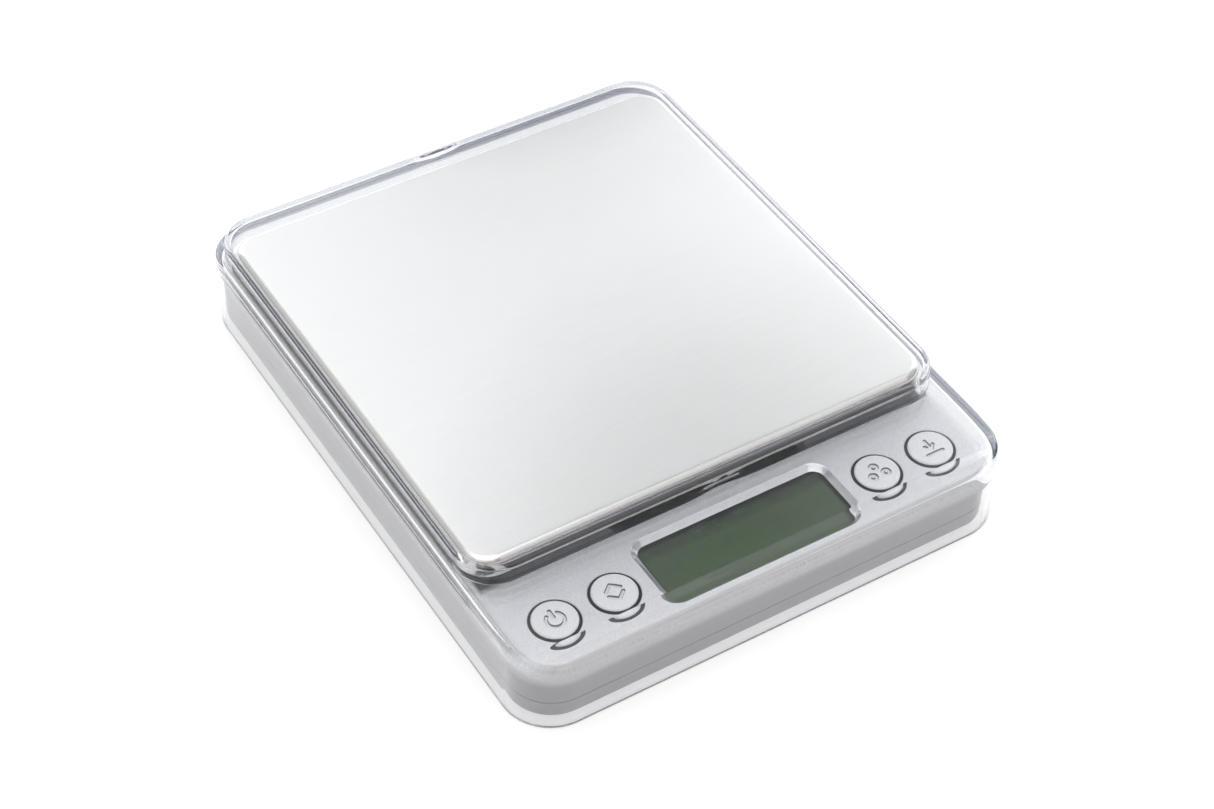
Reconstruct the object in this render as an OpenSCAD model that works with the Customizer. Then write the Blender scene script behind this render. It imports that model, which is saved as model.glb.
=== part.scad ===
// Digital gram scale with a stainless weighing platform and a clear stepped dust cover.
// Origin: centre of the footprint, on the surface that the scale stands on. +Z up.
// -Y is the side with the display and the keys.

/* [Clear cover] */
// Outer width of the cover
cover_w = 106; // [105:0.5:108]
// Outer length of the cover
cover_l = 132; // [131.5:0.5:134]
// Height of the raised block above the table
cover_h = 21; // [20.8:0.1:22]
// Height of the lower step above the table
shelf_z = 16.8; // [16.6:0.1:17.2]
// Corner radius of the cover in plan
cover_r = 9.8; // [9.6:0.1:11]
// Thickness of the side walls and of the raised roof
cover_wall = 1.1; // [0.9:0.1:1.1]
// Thickness of the lower step over the keys
shelf_t = 2; // [1.5:0.1:2]
// Outer width of the raised block
block_w = 103.2; // [103.2:0.1:103.8]
// Distance from the centre to the front of the raised block
block_front = 44.4; // [44.2:0.1:45]
// Distance from the centre to the back of the raised block
block_back = 63; // [62.5:0.1:63.5]
// Corner radius of the raised block
block_r = 8.4; // [8:0.1:8.6]
// Distance from the centre to the start of the sloping front margin
bevel_y = 60.4; // [60:0.1:61]
// Slope of the front margin in degrees
bevel_a = 18; // [10:1:18]
// Width of the centred snap notches
snap_w = 15; // [8:1:20]

/* [Case] */
// Outer width of the case
case_w = 102.3; // [101.8:0.1:102.3]
// Outer length of the case
case_l = 128.3; // [127.8:0.1:128.3]
// Corner radius of the case
case_r = 8.2; // [7.6:0.1:8.6]
// Underside of the case above the table
case_z0 = 1.3; // [1.2:0.1:1.4]
// Height of the parting line
seam_z = 5.4; // [5.2:0.1:5.6]
// Height of the control panel
panel_z = 13.2; // [13.1:0.1:13.4]
// Wall thickness of the case
case_t = 1.6; // [1.5:0.1:1.7]
// Radius of the shoulder between the panel and the side walls
shoulder_r = 3; // [2:0.25:3]
// Side of the square plinth under the platform
plinth_w = 92; // [90:1:92]
// Height of the plinth
plinth_z = 15.6; // [15.5:0.1:15.8]

/* [Platform] */
// Side of the square stainless platform
platform_w = 100; // [98:0.5:100]
// Height of the platform's top
platform_z = 19.7; // [19.5:0.1:19.7]
// Plan radius of the platform's corners
platform_r = 5.6; // [4:0.2:7]
// Radius of the rolled edge
roll_r = 1.6; // [1.2:0.1:1.8]
// Thickness of the sheet
sheet_t = 0.6; // [0.4:0.1:0.8]
// Depth of the rolled edge below the top
skirt_d = 3.2; // [2.6:0.1:3.4]
// Distance from the centre of the case to the centre of the platform
platform_y = 8.7; // [8.5:0.1:8.9]

/* [Display and keys] */
// Width of the visible display window
lcd_w = 40.6; // [38:0.1:41]
// Front edge of the window from the centre
lcd_front = 59.3; // [58.5:0.1:59.4]
// Back edge of the window from the centre
lcd_back = 46.5; // [46.3:0.1:47.5]
// Distance of the keys in front of the centre
key_y = 53.9; // [53.5:0.1:54.2]
// Distance of the outer keys from the middle
key_x_outer = 41; // [40.8:0.1:41.4]
// Distance of the inner keys from the middle
key_x_inner = 28.7; // [28.7:0.1:29.2]
// Radius of a key cap
key_r = 4.3; // [4:0.05:4.4]
// Radius of a key hole
key_hole_r = 4.85; // [4.8:0.05:4.95]
// Height of a key cap above the table
key_z = 13.6; // [13.4:0.1:13.8]

/* [Load cell and batteries] */
// Length of the load cell
cell_l = 47; // [45:1:47]
// Width of the load cell
cell_w = 12; // [10:0.5:12]
// Height of the load cell
cell_h = 6; // [5.5:0.1:6]
// Diameter of an AAA cell
bat_d = 10.5; // [10:0.1:10.5]
// Length of an AAA cell without its nub
bat_l = 43.6; // [43:0.1:43.6]

/* [Hidden] */
$fn = 64;
eps = 0.01;
block_yc = (block_back - block_front) / 2;
block_l = block_back + block_front;
floor_z = case_z0 + case_t;
ceil_z = panel_z - case_t;
plinth_c = plinth_z - 1.4;
cell_z = 4.6;
cell_top = cell_z + cell_h;
carrier_z0 = 16.9;
carrier_z1 = 18.6;
pcb_z0 = 5;
pcb_z1 = 6.2;
screw_xy = [[40, 47], [-40, 47], [40, -31], [-40, -31]];
pcb_xy = [[45, -41.5], [-45, -41.5], [34.85, -59], [-34.85, -59]];
foot_xy = [[42, 55.5], [-42, 55.5], [42, -55.5], [-42, -55.5]];
key_xs = [-key_x_outer, -key_x_inner, key_x_inner, key_x_outer];
bat_y1 = 36.6;
bat_y2 = 47.4;
bat_z = 8.4;

// Rounded rectangle centred on the origin
module rrect(w, l, r) {
  square([w - 2 * r, l], center = true);
  square([w, l - 2 * r], center = true);
  for (sx = [-1, 1], sy = [-1, 1])
    translate([sx * (w / 2 - r), sy * (l / 2 - r)]) circle(r);
}

// Straight prism on a rounded rectangle
module rbox(w, l, r, z0, z1)
  translate([0, 0, z0]) linear_extrude(z1 - z0) rrect(w, l, r);

// The half round that runs along a rounded rectangle's edge
module edge_round(w, l, r, z, e) {
  for (s = [-1, 1]) {
    translate([0, s * (l / 2 - e), z]) rotate([0, 90, 0])
      cylinder(r = e, h = w - 2 * r, center = true);
    translate([s * (w / 2 - e), 0, z]) rotate([90, 0, 0])
      cylinder(r = e, h = l - 2 * r, center = true);
  }
  for (i = [0:3]) {
    sx = (i == 0 || i == 3) ? 1 : -1;
    sy = (i < 2) ? 1 : -1;
    translate([sx * (w / 2 - r), sy * (l / 2 - r), z]) rotate([0, 0, 90 * i])
      rotate_extrude(angle = 90) translate([r - e, 0]) circle(e);
  }
}

// Prism with its top edge rounded
module rprism_top(w, l, r, z0, z1, e) {
  rbox(w, l, r, z0, z1 - e);
  rbox(w - 2 * e, l - 2 * e, r - e, z0, z1);
  edge_round(w, l, r, z1 - e, e);
}

// Prism with its bottom edge rounded
module rprism_bot(w, l, r, z0, z1, e) {
  rbox(w, l, r, z0 + e, z1);
  rbox(w - 2 * e, l - 2 * e, r - e, z0, z1);
  edge_round(w, l, r, z0 + e, e);
}

// Clear stepped lid that drops over the whole scale
module clear_cover() color([0.92, 0.94, 0.95, 0.35])
  difference() {
    union() {
      rprism_top(cover_w, cover_l, cover_r, 0, shelf_z, 0.9);
      translate([0, block_yc, 0])
        rprism_top(block_w, block_l, block_r, shelf_z - 3, cover_h, 0.8);
    }
    rprism_top(cover_w - 2 * cover_wall, cover_l - 2 * cover_wall,
               cover_r - cover_wall, -1, shelf_z - shelf_t, 1.4);
    translate([0, block_yc, 0])
      rbox(block_w - 2 * cover_wall, block_l - 2 * cover_wall,
           block_r - cover_wall, shelf_z - shelf_t - 1, cover_h - cover_wall);
    // sloping front margin
    translate([0, -bevel_y, shelf_z]) rotate([bevel_a, 0, 0])
      translate([-cover_w / 2 - 5, -12, 0]) cube([cover_w + 10, 12, 5]);
    // snap notches at the foot of the block, front and back
    translate([-snap_w / 2, -block_front - 1, shelf_z - 0.5]) cube([snap_w, 1.4, 1.7]);
    translate([-snap_w / 2, block_back - 0.4, shelf_z + 0.6]) cube([snap_w, 1.4, 1.1]);
  }

// Silver upper shell with the control panel and the plinth under the platform
module upper_case() color([0.78, 0.79, 0.81]) difference() {
  union() {
    difference() {
      union() {
        rprism_top(case_w, case_l, case_r, seam_z + 0.1, panel_z, shoulder_r);
        translate([0, platform_y, 0])
          rprism_top(plinth_w, plinth_w, 3, panel_z - 1.5, plinth_z, 0.8);
      }
      rbox(case_w - 2 * case_t, case_l - 2 * case_t, case_r - case_t, seam_z - 1, ceil_z);
      translate([0, platform_y, 0])
        rbox(plinth_w - 3, plinth_w - 3, 2, ceil_z - 1, plinth_c);
    }
    // screw bosses
    for (p = screw_xy) translate([p[0], p[1], 6.6]) cylinder(r = 3, h = plinth_c - 6.6 + 0.3);
  }
  for (p = screw_xy) translate([p[0], p[1], 6]) cylinder(r = 1.1, h = 6.5);
  // window opening, its stepped frame and the seat of the lens
  translate([0, -(lcd_front + lcd_back) / 2, 0]) {
    rbox(lcd_w, lcd_front - lcd_back, 2.4, ceil_z - 1, panel_z + 1);
    rbox(lcd_w + 1.4, lcd_front - lcd_back + 1.4, 3, 12.7, panel_z + 1);
    rbox(lcd_w + 4.4, lcd_front - lcd_back + 4.4, 2, ceil_z - 1, 12.2);
  }
  // key holes
  for (x = key_xs) translate([x, -key_y, ceil_z - 1]) cylinder(r = key_hole_r, h = 5);
  // passage for the boss of the platform carrier
  translate([10.5, platform_y - 7, plinth_c - 1]) cube([14, 14, 3]);
}

// Lower shell with the battery bay, the pedestal of the load cell and the foot recesses
module lower_case() color([0.74, 0.75, 0.77]) difference() {
  union() {
    difference() {
      rprism_bot(case_w, case_l, case_r, case_z0, seam_z - 0.1, 1.2);
      rbox(case_w - 2 * case_t, case_l - 2 * case_t, case_r - case_t, floor_z, seam_z + 1);
    }
    // locating lip
    difference() {
      rbox(case_w - 2 * case_t - 0.2, case_l - 2 * case_t - 0.2, case_r - case_t - 0.1, floor_z - 0.5, seam_z + 1.2);
      rbox(case_w - 2 * case_t - 2.2, case_l - 2 * case_t - 2.2, case_r - case_t - 1.1, floor_z - 1, seam_z + 2);
    }
    // columns for the case screws
    for (p = screw_xy) translate([p[0], p[1], floor_z - 0.5]) cylinder(r = 3.4, h = 6.5 - floor_z + 0.5);
    // posts for the circuit board
    for (p = pcb_xy) translate([p[0], p[1], floor_z - 0.5]) cylinder(r = 2.2, h = pcb_z0 - floor_z + 0.5);
    // pedestal for the fixed end of the load cell
    translate([-cell_l / 2, platform_y - cell_w / 2, floor_z - 0.5]) cube([12, cell_w, cell_z - floor_z + 0.5]);
    // boss of the overload stop
    translate([17.5, platform_y, floor_z - 0.5]) cylinder(r = 3, h = 1.1);
    // walls of the battery bay
    difference() {
      union() {
        translate([-28.2, 28.3, floor_z - 0.5]) cube([56.4, 24.5, 13.6 - floor_z + 0.5]);
        translate([-28.2, 28.3, floor_z - 0.5]) cube([56.4, 28.3, 11.2 - floor_z + 0.5]);
      }
      translate([-27, 29.5, floor_z - 1]) cube([54, 25.9, 20]);
    }
  }
  // door opening
  translate([-27, 29.5, 0]) cube([54, 24.5, floor_z + 1]);
  // case screws: clearance hole and counterbore
  for (p = screw_xy) translate([p[0], p[1], 0]) {
    cylinder(r = 1.4, h = 10);
    cylinder(r = 2.7, h = 3.6);
  }
  for (p = pcb_xy) translate([p[0], p[1], 3.3]) cylinder(r = 1.05, h = 4);
  // load cell screws: clearance hole and counterbore
  for (x = [-20.5, -14.5]) translate([x, platform_y, 0]) {
    cylinder(r = 1.6, h = 6);
    cylinder(r = 2.9, h = 3.3);
  }
  translate([17.5, platform_y, 0]) cylinder(r = 1.55, h = 5);
  // recesses for the feet
  for (p = foot_xy) translate([p[0], p[1], 0]) cylinder(r = 4.6, h = 2);
}

// Pressed stainless platform with a rolled edge
module platform() color([0.86, 0.85, 0.83]) translate([0, platform_y, 0])
  difference() {
    rprism_top(platform_w, platform_w, platform_r, platform_z - skirt_d, platform_z, roll_r);
    rprism_top(platform_w - 2 * sheet_t, platform_w - 2 * sheet_t, platform_r - sheet_t,
               platform_z - skirt_d - 1, platform_z - sheet_t, roll_r - sheet_t);
  }

// Four adhesive pads between the platform and its carrier
module platform_tape() color([0.93, 0.93, 0.9])
  for (sx = [-1, 1], sy = [-1, 1]) translate([sx * 31, platform_y + sy * 31, carrier_z1])
    translate([-9, -9, 0]) cube([18, 18, platform_z - sheet_t - carrier_z1]);

// Ribbed plastic carrier with the boss that bolts to the free end of the load cell
module platform_carrier() color([0.2, 0.2, 0.21]) difference() {
  union() {
    translate([0, platform_y, 0]) rbox(90, 90, 4, carrier_z0, carrier_z1);
    for (a = [-1, 1]) {
      translate([a * 32 - 0.8, platform_y - 42, carrier_z0 - 0.6]) cube([1.6, 84, 1]);
      translate([-42, platform_y + a * 32 - 0.8, carrier_z0 - 0.6]) cube([84, 1.6, 1]);
    }
    translate([11.5, platform_y - 6, cell_top]) cube([12, 12, carrier_z0 - cell_top + 0.5]);
  }
  for (x = [14.5, 20.5]) translate([x, platform_y, 0]) {
    cylinder(r = 1.65, h = 20);
    translate([0, 0, 13]) cylinder(r = 2.85, h = 8);
  }
}

// Two screws from the carrier into the free end
module carrier_screws() color([0.7, 0.7, 0.72])
  for (x = [14.5, 20.5]) translate([x, platform_y, 0]) difference() {
    union() {
      translate([0, 0, 6]) cylinder(r = 1.5, h = 7.2);
      translate([0, 0, 13]) cylinder(r = 2.7, h = 1.8);
    }
    translate([-2, -0.3, 14.2]) cube([4, 0.6, 1]);
    translate([-0.3, -2, 14.2]) cube([0.6, 4, 1]);
  }

// Aluminium bending beam with its twin-hole cut-out
module load_cell() color([0.8, 0.81, 0.83]) difference() {
  translate([-cell_l / 2, platform_y - cell_w / 2, cell_z]) cube([cell_l, cell_w, cell_h]);
  for (x = [-4.6, 4.6]) translate([x, platform_y, cell_z + cell_h / 2]) rotate([90, 0, 0])
    cylinder(r = 2.2, h = cell_w + 2, center = true);
  translate([-4.6, platform_y - cell_w / 2 - 1, cell_z + cell_h / 2 - 0.8]) cube([9.2, cell_w + 2, 1.6]);
  for (x = [-20.5, -14.5, 14.5, 20.5]) translate([x, platform_y, 0]) cylinder(r = 1.6, h = 20);
}

// Two screws from below into the fixed end
module load_cell_screws() color([0.7, 0.7, 0.72])
  for (x = [-20.5, -14.5]) translate([x, platform_y, 0]) difference() {
    union() {
      translate([0, 0, 3]) cylinder(r = 1.5, h = 6.8);
      translate([0, 0, 1.6]) cylinder(r = 2.75, h = 1.7);
    }
    translate([-2, -0.3, 1.2]) cube([4, 0.6, 1]);
    translate([-0.3, -2, 1.2]) cube([0.6, 4, 1]);
  }

// Foil gauges bonded over the thin sections of the beam
module strain_gauges() color([0.75, 0.55, 0.25])
  for (x = [-4.6, 4.6], z = [cell_z - 0.25, cell_top])
    translate([x - 2.5, platform_y - 3, z]) cube([5, 6, 0.25]);

// Stop screw under the free end
module overload_stop() color([0.55, 0.55, 0.57]) translate([17.5, platform_y, 0]) difference() {
  translate([0, 0, 1.6]) cylinder(r = 1.5, h = 2.5);
  translate([-2, -0.25, 1.3]) cube([4, 0.5, 0.9]);
}

// Flat four-core lead from the load cell to the board
module cell_leads() color([0.85, 0.2, 0.15])
  translate([-11.5, 0, 0]) rotate([90, 0, 90]) linear_extrude(4)
    polygon([[2.6, 7], [2.6, 8], [-1, 8], [-2.6, 7], [-4, 4.2], [-33, 4.2], [-34.6, 5], [-36.2, 7.3],
             [-39.5, 7.3], [-39.5, 6.3], [-36.8, 6.3], [-35.4, 4.4], [-33.4, 3.2], [-3.4, 3.2], [-1.8, 6.2], [-0.6, 7]]);

// Circuit board under the panel
module main_pcb() color([0.1, 0.4, 0.2]) difference() {
  translate([0, -49.6, 0]) rbox(95, 23.4, 5, pcb_z0, pcb_z1);
  for (p = pcb_xy) translate([p[0], p[1], 0]) cylinder(r = 1.2, h = 10);
}

// Epoxy-covered controller under the board
module chip_blob() color([0.08, 0.08, 0.08]) translate([0, -50, pcb_z0]) {
  translate([0, 0, -0.6]) cylinder(r = 5, h = 0.6);
  translate([0, 0, -1.2]) cylinder(r = 4.4, h = 1.2);
  translate([0, 0, -0.6]) rotate_extrude() translate([4.4, 0]) circle(0.6);
}

// Surface-mount parts on the board
module smd_parts() color([0.15, 0.15, 0.16]) {
  for (i = [0:4]) translate([-40 + i * 4, -41.9, pcb_z1]) cube([2, 1.2, 0.9]);
  translate([8, -41.2, pcb_z1]) cube([5, 2.4, 1.6]);
  translate([18, -40, pcb_z1]) cylinder(r = 1.6, h = 3.4);
  for (x = [-14, 14]) translate([x, -52, pcb_z0 - 1]) cube([3, 1.6, 1]);
}

// Clear window bonded under the panel
module lcd_lens() color([0.7, 0.75, 0.7, 0.35])
  translate([0, -(lcd_front + lcd_back) / 2, 0])
    rbox(lcd_w + 4, lcd_front - lcd_back + 4, 1.9, 11.2, 12.2);

// Display glass
module lcd_glass() color([0.45, 0.5, 0.42]) {
  translate([-22.2, -61.6, 8.9]) cube([44.4, 17.8, 1.1]);
  translate([-22.2, -60, 10]) cube([44.4, 16.2, 1.1]);
}

// Light guide behind the display
module lcd_backlight() color([0.9, 0.95, 0.9])
  translate([-21.6, -59.6, 7.1]) cube([43.2, 15.6, 1.7]);

// Frame that holds the display on the board
module lcd_holder() color([0.93, 0.93, 0.92]) difference() {
  translate([-23, -62.3, pcb_z1 + 0.1]) cube([46, 19.5, 4.5]);
  translate([-22.3, -61.7, pcb_z1 + 0.8]) cube([44.6, 18, 6]);
  translate([-21, -61.6, pcb_z1 - 1]) cube([42, 2, 3]);
  translate([-24, -63, pcb_z1 - 1]) cube([48, 1.9, 1.6]);
}

// Elastomer connector between board and glass
module zebra_strip() color([0.9, 0.55, 0.6])
  translate([-20.5, -61.2, pcb_z1]) cube([41, 1.3, 2.7]);

// Round key cap with a retaining flange and a short stem
module key_cap() {
  translate([0, 0, 11.2]) cylinder(r = key_r, h = key_z - 11.2 - 0.35);
  translate([0, 0, 11.2]) cylinder(r = key_r - 0.35, h = key_z - 11.2);
  translate([0, 0, key_z - 0.35]) rotate_extrude() translate([key_r - 0.35, 0]) circle(0.35);
  translate([0, 0, 10.8]) cylinder(r = 5.25, h = 0.5);
  translate([0, 0, 10.5]) cylinder(r = 1.5, h = 0.5);
}
module power_button() color([0.83, 0.83, 0.84]) translate([-key_x_outer, -key_y, 0]) key_cap();
module mode_button() color([0.83, 0.83, 0.84]) translate([-key_x_inner, -key_y, 0]) key_cap();
module count_button() color([0.83, 0.83, 0.84]) translate([key_x_inner, -key_y, 0]) key_cap();
module tare_button() color([0.83, 0.83, 0.84]) translate([key_x_outer, -key_y, 0]) key_cap();

// Plunger of a tactile switch
module plunger() translate([0, 0, 9.1]) cylinder(r = 1.6, h = 1.4);
module power_plunger() color([0.1, 0.1, 0.1]) translate([-key_x_outer, -key_y, 0]) plunger();
module mode_plunger() color([0.1, 0.1, 0.1]) translate([-key_x_inner, -key_y, 0]) plunger();
module count_plunger() color([0.1, 0.1, 0.1]) translate([key_x_inner, -key_y, 0]) plunger();
module tare_plunger() color([0.1, 0.1, 0.1]) translate([key_x_outer, -key_y, 0]) plunger();

// Housings of the four tactile switches
module switch_bodies() color([0.6, 0.6, 0.62])
  for (x = key_xs) translate([x, -key_y, 0]) difference() {
    union() {
      translate([-3, -3, pcb_z1]) cube([6, 6, 3.5]);
      for (sx = [-1, 1], sy = [-1, 1]) translate([sx * 3.2 - 0.35, sy * 2.2 - 0.35, pcb_z1]) cube([0.7, 0.7, 2]);
    }
    translate([0, 0, 8.2]) cylinder(r = 1.85, h = 5);
  }

// Screws of the circuit board
module pcb_screws() color([0.7, 0.7, 0.72])
  for (p = pcb_xy) translate([p[0], p[1], 0]) difference() {
    union() {
      translate([0, 0, 3.4]) cylinder(r = 1, h = 3);
      translate([0, 0, pcb_z1]) cylinder(r = 1.9, h = 1.2);
    }
    translate([-1.4, -0.25, 6.9]) cube([2.8, 0.5, 1]);
    translate([-0.25, -1.4, 6.9]) cube([0.5, 2.8, 1]);
  }

// Screws that close the case from below
module case_screws() color([0.7, 0.7, 0.72])
  for (p = screw_xy) translate([p[0], p[1], 0]) difference() {
    union() {
      translate([0, 0, 3.4]) cylinder(r = 1.05, h = 8.4);
      translate([0, 0, 2.1]) cylinder(r = 2.5, h = 1.5);
    }
    translate([-1.8, -0.3, 1.8]) cube([3.6, 0.6, 1]);
    translate([-0.3, -1.8, 1.8]) cube([0.6, 3.6, 1]);
  }

// Round rubber feet
module rubber_feet() color([0.12, 0.12, 0.13])
  for (p = foot_xy) translate([p[0], p[1], 0]) {
    cylinder(r = 4, h = 2);
    translate([0, 0, 0.5]) cylinder(r = 4.5, h = 1.5);
    translate([0, 0, 0.5]) rotate_extrude() translate([4, 0]) circle(0.5);
  }

// Battery door with a rounded back edge that it turns on, two hooks there and a spring tongue at its front
module battery_door() color([0.74, 0.75, 0.77]) difference() {
  union() {
    translate([-26.7, 29.8, case_z0]) cube([53.4, 23.2, 1.4]);
    translate([0, 53, case_z0 + 0.7]) rotate([0, 90, 0]) cylinder(r = 0.7, h = 53.4, center = true);
    for (x = [-18, 12]) {
      translate([x, 52, case_z0 + 1]) cube([6, 1.4, 1.7]);
      translate([x, 52.6, 3.1]) cube([6, 2.4, 0.9]);
    }
    translate([-6, 30.2, case_z0 + 1]) cube([12, 0.7, 2.9]);
  }
  // finger grooves
  for (i = [0:3]) translate([-6, 33 + i * 1.8, case_z0 - 0.6]) rotate([0, 90, 0]) cylinder(r = 0.9, h = 12);
}

// Two AAA cells side by side, facing opposite ways
module aaa(flip) mirror([flip, 0, 0]) {
  translate([-bat_l / 2 - 0.4, 0, 0]) rotate([0, 90, 0]) cylinder(d = bat_d, h = bat_l);
  translate([bat_l / 2 - 0.6, 0, 0]) rotate([0, 90, 0]) cylinder(r = 1.9, h = 1);
}
module batteries() color([0.25, 0.3, 0.35]) {
  translate([0, bat_y1, bat_z]) aaa(0);
  translate([0, bat_y2, bat_z]) aaa(1);
}

// Coil springs on the negative ends, each a stack of rings on a conical envelope
module battery_springs() color([0.8, 0.8, 0.82])
  for (s = [[-1, bat_y1], [1, bat_y2]])
    translate([s[0] * 22.4, s[1], bat_z]) rotate([0, s[0] * 90, 0]) difference() {
      cylinder(r1 = 2.2, r2 = 3.6, h = 4.1);
      translate([0, 0, -1]) cylinder(r = 1.4, h = 7);
      for (z = [0.9, 2.1, 3.3]) translate([0, 0, z]) difference() {
        cylinder(r = 6, h = 0.45);
        cylinder(r = 1.9, h = 2, center = true);
      }
    }

// Sheet contacts at the ends of the bay
module battery_contacts() color([0.8, 0.8, 0.82]) {
  for (y = [bat_y1, bat_y2], s = [-1, 1]) translate([s * 26.75 - 0.25, y - 4.6, 4.2]) cube([0.5, 9.2, 8.4]);
  for (s = [[1, bat_y1], [-1, bat_y2]])
    translate([s[0] * 24.35, s[1], bat_z]) rotate([0, 90, 0]) cylinder(r = 2.4, h = 4.3, center = true);
}

// Two insulated wires from the bay to the board
module battery_leads() color([0.7, 0.1, 0.1])
  for (p = [[-33.4, 41.8], [-31.6, 39.8]]) {
    translate([p[0], -35.2, 4]) rotate([-90, 0, 0]) cylinder(r = 0.6, h = p[1] + 35.2);
    translate([p[0], p[1], 4]) sphere(r = 0.6);
    translate([p[0], -35.2, 4]) sphere(r = 0.6);
    translate([p[0], -35.2, 4]) cylinder(r = 0.6, h = 3.2);
    translate([p[0], -35.2, 7.2]) sphere(r = 0.6);
    translate([p[0], -35.2, 7.2]) rotate([90, 0, 0]) cylinder(r = 0.6, h = 4);
    translate([p[0], p[1], 4]) rotate([0, 90, 0]) cylinder(r = 0.6, h = -28.3 - p[0]);
  }

clear_cover();
upper_case();
lower_case();
platform();
platform_tape();
platform_carrier();
carrier_screws();
load_cell();
load_cell_screws();
strain_gauges();
overload_stop();
cell_leads();
main_pcb();
chip_blob();
smd_parts();
lcd_lens();
lcd_glass();
lcd_backlight();
lcd_holder();
zebra_strip();
power_button();
mode_button();
count_button();
tare_button();
power_plunger();
mode_plunger();
count_plunger();
tare_plunger();
switch_bodies();
pcb_screws();
case_screws();
rubber_feet();
battery_door();
batteries();
battery_springs();
battery_contacts();
battery_leads();
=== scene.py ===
"""Looks of the digital gram scale: clear stepped cover, silver case, stainless platform, display and keys."""
import math
import random

import bmesh
import bpy
from mathutils import Matrix, Vector


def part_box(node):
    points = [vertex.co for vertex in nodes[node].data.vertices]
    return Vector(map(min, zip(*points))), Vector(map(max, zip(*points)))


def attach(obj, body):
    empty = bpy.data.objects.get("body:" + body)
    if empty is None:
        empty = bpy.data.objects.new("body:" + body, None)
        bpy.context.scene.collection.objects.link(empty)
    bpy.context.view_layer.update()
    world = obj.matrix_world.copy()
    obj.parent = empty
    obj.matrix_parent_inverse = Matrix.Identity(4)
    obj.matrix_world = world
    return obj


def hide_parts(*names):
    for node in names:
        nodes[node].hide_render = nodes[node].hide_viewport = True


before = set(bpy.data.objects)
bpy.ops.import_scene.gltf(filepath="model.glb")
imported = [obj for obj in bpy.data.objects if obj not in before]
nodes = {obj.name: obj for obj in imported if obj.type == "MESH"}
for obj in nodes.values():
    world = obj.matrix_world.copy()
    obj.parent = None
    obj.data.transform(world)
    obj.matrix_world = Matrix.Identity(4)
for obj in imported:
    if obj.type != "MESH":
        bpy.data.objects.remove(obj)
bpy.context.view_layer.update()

MM = 0.001
random.seed(11)

# ---------------------------------------------------------------- sizes, in millimetres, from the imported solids
def box_mm(name):
    lo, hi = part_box(name)
    return [c / MM for c in lo], [c / MM for c in hi]

cov_lo, cov_hi = box_mm("clear_cover")
case_lo, case_hi = box_mm("lower_case")
plat_lo, plat_hi = box_mm("platform")
COVER_W, COVER_L, COVER_H = cov_hi[0] - cov_lo[0], cov_hi[1] - cov_lo[1], cov_hi[2]
CASE_W, CASE_L = case_hi[0] - case_lo[0], case_hi[1] - case_lo[1]
PLAT_W = plat_hi[0] - plat_lo[0]
PLAT_Y = (plat_lo[1] + plat_hi[1]) / 2
PLAT_Z = plat_hi[2]
SHELF = 16.8
COVER_R = 9.8
WALL = 1.1
SHELF_T = 2.0
BLOCK_W, BLOCK_F, BLOCK_B, BLOCK_R = 103.2, 44.4, 63.0, 8.4
BLOCK_YC, BLOCK_L = (BLOCK_B - BLOCK_F) / 2, BLOCK_B + BLOCK_F
BEVEL_Y, BEVEL_A = 60.4, 18.0
PANEL = 13.2
SEAM = 5.4
CASE_R = 8.2
KEY_Y = 53.9
KEYS = {"power": -41.0, "mode": -28.7, "count": 28.7, "tare": 41.0}
LCD_W, LCD_F, LCD_B = 40.6, 59.3, 46.5
LCD_YC = -(LCD_F + LCD_B) / 2


# ---------------------------------------------------------------- mesh tools
def rr_loop(w, l, r, z, yc=0.0, n=10, m=1):
    """Points round a rounded rectangle, anticlockwise from the right side. n steps a corner, m steps a straight side. z is a number or a function of x and y."""
    a, b = w / 2 - r, l / 2 - r
    pts = []
    for k, (cx, cy) in enumerate(((a, b), (-a, b), (-a, -b), (a, -b))):
        for i in range(n + 1):
            t = math.radians(90 * k + 90 * i / n)
            pts.append((cx + r * math.cos(t), cy + r * math.sin(t)))
        nx = ((a, b), (-a, b), (-a, -b), (a, -b))[(k + 1) % 4]
        t = math.radians(90 * (k + 1))
        p0, p1 = pts[-1], (nx[0] + r * math.cos(t), nx[1] + r * math.sin(t))
        for j in range(1, m):
            pts.append((p0[0] + (p1[0] - p0[0]) * j / m, p0[1] + (p1[1] - p0[1]) * j / m))
    return [(x, y + yc, z(x, y + yc) if callable(z) else z) for x, y in pts]


def new_object(name, bm, body, replaced=(), smooth=40, scale=MM, recalc=True):
    if recalc:
        bmesh.ops.recalc_face_normals(bm, faces=bm.faces)
    me = bpy.data.meshes.new(name)
    bmesh.ops.scale(bm, vec=(scale,) * 3, verts=bm.verts)
    bm.to_mesh(me)
    bm.free()
    ob = bpy.data.objects.new(name, me)
    bpy.context.scene.collection.objects.link(ob)
    shade(ob, smooth)
    if body:
        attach(ob, body)
    if replaced:
        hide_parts(*replaced)
    return ob


def shade(ob, angle=40):
    me = ob.data
    me.shade_smooth()
    me.set_sharp_from_angle(angle=math.radians(angle))


def weighted(ob, weight=60):
    m = ob.modifiers.new("weighted", "WEIGHTED_NORMAL")
    m.keep_sharp = True
    m.weight = weight
    return m


def loft(bm, loops, cap_first=False, cap_last=False, close=False):
    """Quads between loops that all have the same count. close joins the last loop to the first."""
    rings = [[bm.verts.new(p) for p in loop] for loop in loops]
    n = len(rings[0])
    pairs = list(zip(rings, rings[1:])) + ([(rings[-1], rings[0])] if close else [])
    for a, b in pairs:
        for i in range(n):
            j = (i + 1) % n
            bm.faces.new((a[i], a[j], b[j], b[i]))
    if cap_first:
        bm.faces.new(list(reversed(rings[0])))
    if cap_last:
        bm.faces.new(rings[-1])
    return rings


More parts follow.
